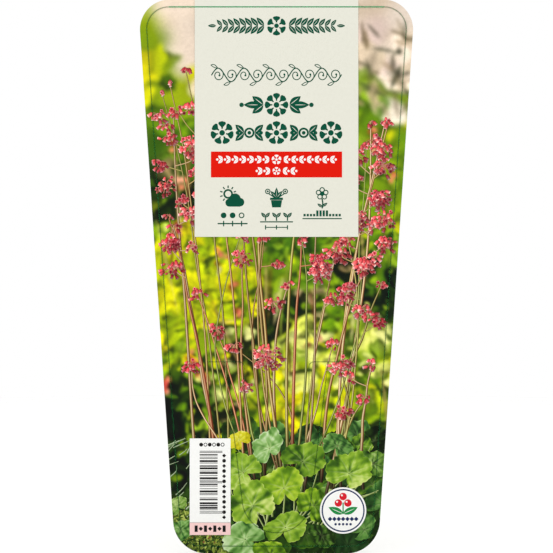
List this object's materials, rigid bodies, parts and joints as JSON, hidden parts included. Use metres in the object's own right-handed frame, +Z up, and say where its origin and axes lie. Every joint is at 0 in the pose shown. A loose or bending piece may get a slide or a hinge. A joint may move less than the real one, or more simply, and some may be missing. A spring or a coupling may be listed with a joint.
{
  "type": "plant label",
  "caption": "Tapered printed plastic plant label with round corners and a die-cut tongue that hangs over a pot's rim.",
  "frame": {"origin": "on the back face, at the middle of the line where the tongue bends back over a pot's rim", "axes": "+Z up the label's height, +X across its width, and +Y out of its back face; the printed face looks along -Y"},
  "size_m": [0.1096, 0.0006, 0.2222],
  "materials": {
    "label_plastic": "white polypropylene sheet with a satin face, printed on the front"
  },
  "bodies": {
    "root": {"label_card": "label_plastic"}
  },
  "joints": []
}
